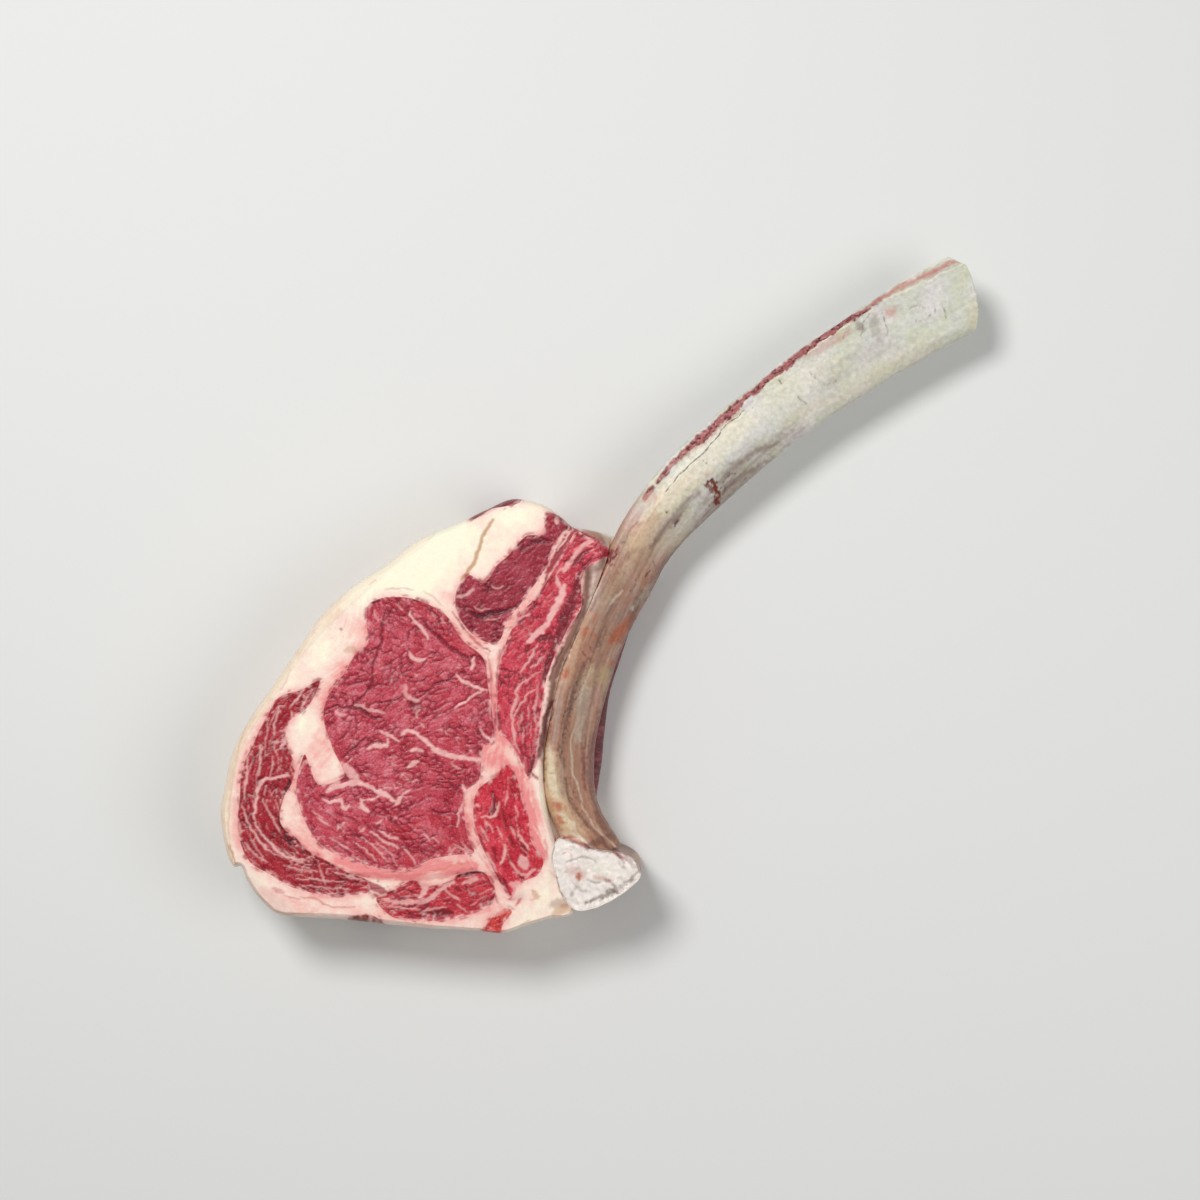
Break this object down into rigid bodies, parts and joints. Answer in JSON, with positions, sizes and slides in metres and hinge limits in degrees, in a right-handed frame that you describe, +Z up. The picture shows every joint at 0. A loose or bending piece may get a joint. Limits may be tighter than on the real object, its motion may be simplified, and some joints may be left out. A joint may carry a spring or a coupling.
{
  "type": "raw tomahawk steak",
  "caption": "Thick raw rib steak lying flat, cut face up, with one long curved, cleaned rib bone reaching out from its side.",
  "frame": {"origin": "under the middle of the whole steak's box, on the surface that it lies on", "axes": "+Z up out of the upper cut face; +X towards the free end of the rib bone, along the longer side of the box; +Y from the rib's sawn head towards the bone's free end"},
  "size_m": [0.3532, 0.3168, 0.052],
  "materials": {
    "bone": "scraped, slightly moist bone, off-white with tan and pink stains",
    "fat": "soft cold fat, cream to pink, satin",
    "outer_fat": "firm cream-coloured fat, satin",
    "lean": "moist raw beef with marbling, semi-gloss",
    "dark_lean": "moist dark raw beef with streaky marbling, semi-gloss"
  },
  "bodies": {
    "root": {"rib_bone": "bone", "fat_body": "fat", "outer_fat_sheet": "outer_fat", "eye_muscle": "lean", "cap_muscle": "dark_lean", "lower_cap_muscle": "dark_lean", "chine_muscle": "lean", "upper_muscle": "dark_lean", "rib_side_muscle": "lean", "trapezius_strip": "dark_lean", "chine_trim_muscle": "lean", "bottom_edge_muscle": "dark_lean", "intercostal_strip": "dark_lean"}
  },
  "joints": []
}
